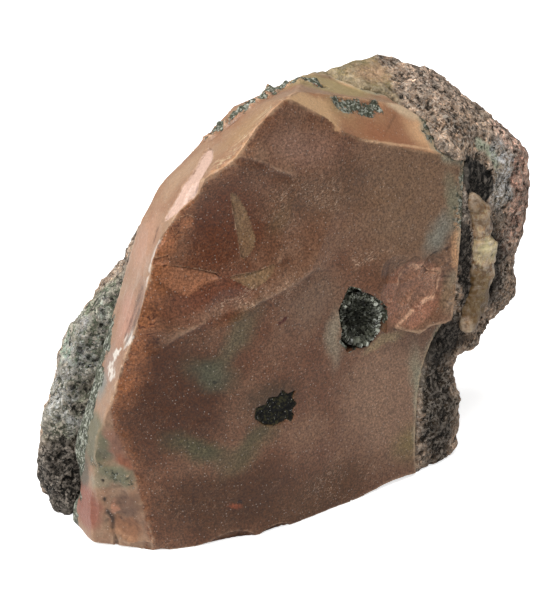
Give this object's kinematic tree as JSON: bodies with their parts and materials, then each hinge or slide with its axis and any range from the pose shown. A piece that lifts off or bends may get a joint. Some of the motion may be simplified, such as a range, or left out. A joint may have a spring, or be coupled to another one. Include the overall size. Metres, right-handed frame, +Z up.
{
  "type": "mineral specimen",
  "caption": "Broken lump of massive pink-brown datolite with a rind of dark basalt, a crystal-lined hollow and a dark fragment in its front; stands on its flat foot.",
  "frame": {"origin": "middle of the flat foot the specimen stands on", "axes": "+Z up from the foot, +X to the right along the foot of the broad front fracture face, +Y from that face to the basalt at the back"},
  "size_m": [0.108, 0.0474, 0.0869],
  "materials": {
    "datolite": "satin, porcelain-like fracture",
    "basalt": "rough, speckled",
    "vein": "satin",
    "inclusion": "rough",
    "druse": "small glossy crystals"
  },
  "bodies": {
    "root": {"datolite_body": "datolite", "basalt_matrix": "basalt", "datolite_vein": "vein", "basalt_inclusion": "inclusion", "vug_crust": "druse"}
  },
  "joints": []
}
